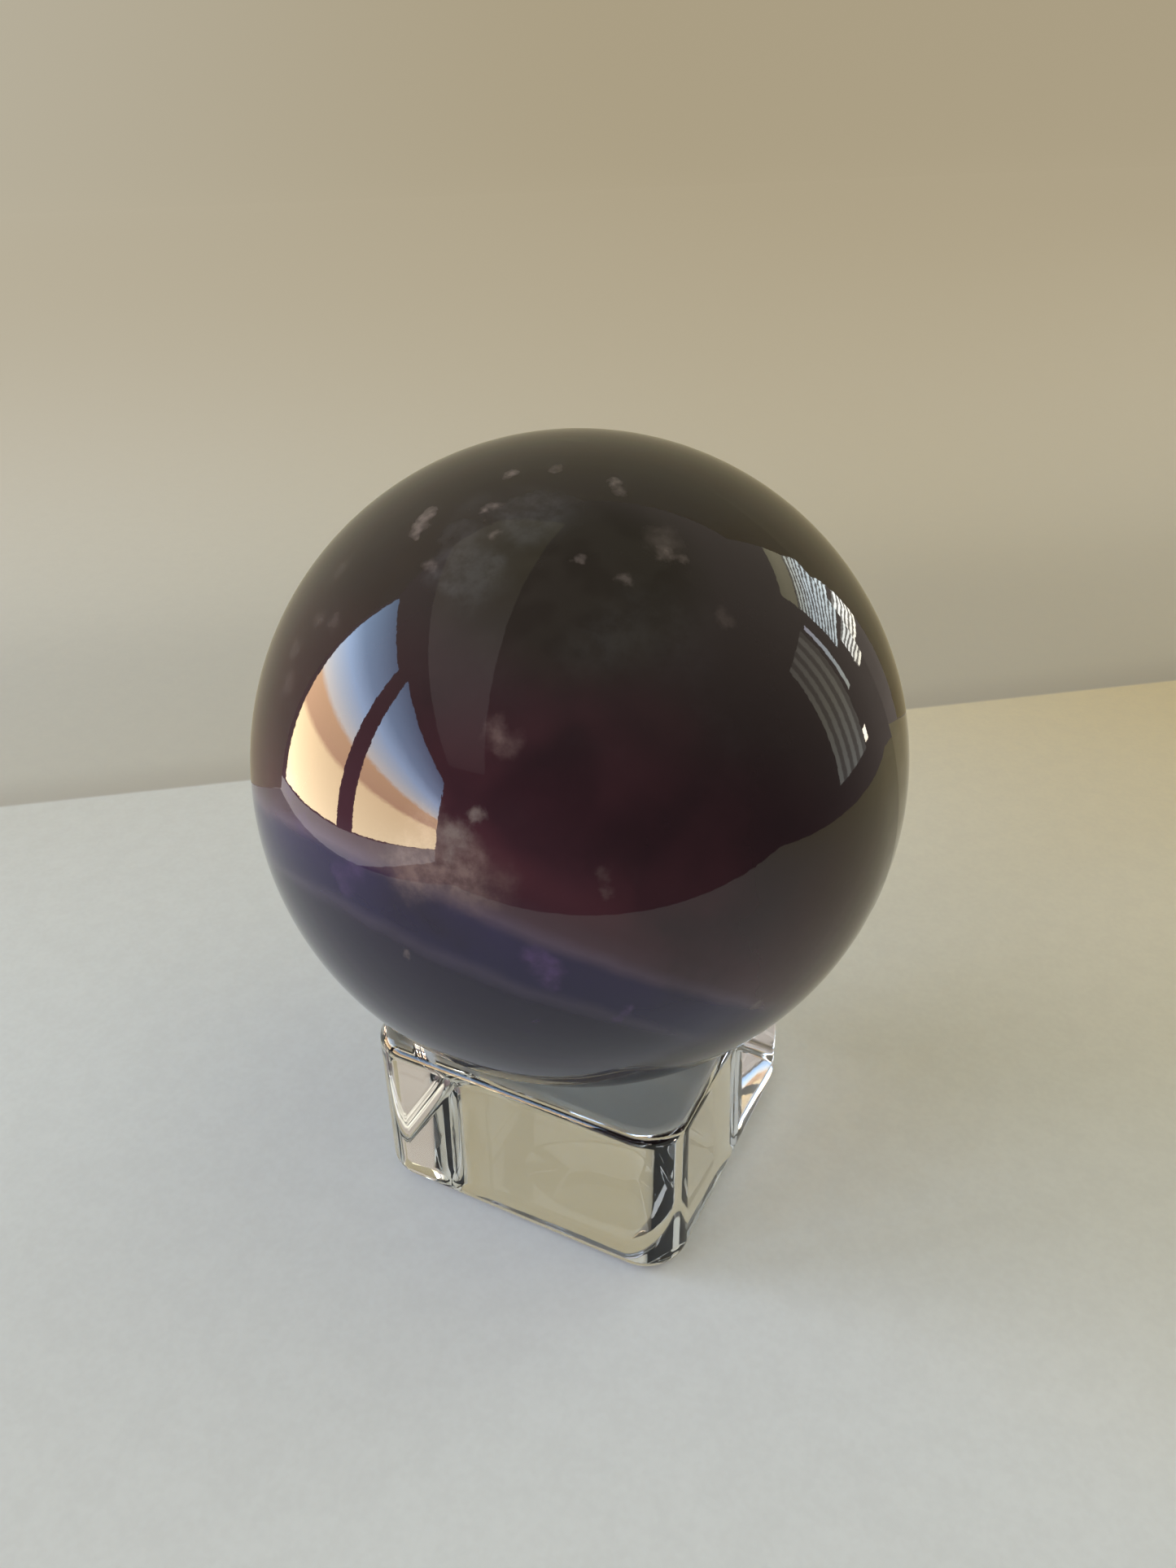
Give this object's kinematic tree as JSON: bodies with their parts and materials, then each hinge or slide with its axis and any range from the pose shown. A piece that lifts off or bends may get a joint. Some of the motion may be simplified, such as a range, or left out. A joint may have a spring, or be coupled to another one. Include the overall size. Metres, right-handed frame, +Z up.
{
  "type": "crystal ball on stand",
  "caption": "Polished solid stone sphere that rests in the shallow round seat of a clear glass block stand and lifts straight off it.",
  "frame": {"origin": "centre of the stand's underside, on the surface that it rests on, below the centre of the ball", "axes": "+Z up, along the way the ball lifts off; -Y is the stand face nearest the viewer, +X to the right; the stand's sides face X and Y"},
  "size_m": [0.072, 0.072, 0.092],
  "materials": {
    "polished_stone": "polished",
    "clear_glass": "polished"
  },
  "bodies": {
    "stand": {"glass_stand": "clear_glass"},
    "ball": {"crystal_ball": "polished_stone"}
  },
  "joints": [
    {"name": "ball_lift", "type": "slide", "parent": "stand", "child": "ball", "axis": [0, 0, 1], "range_m": [0, 0.06]}
  ]
}
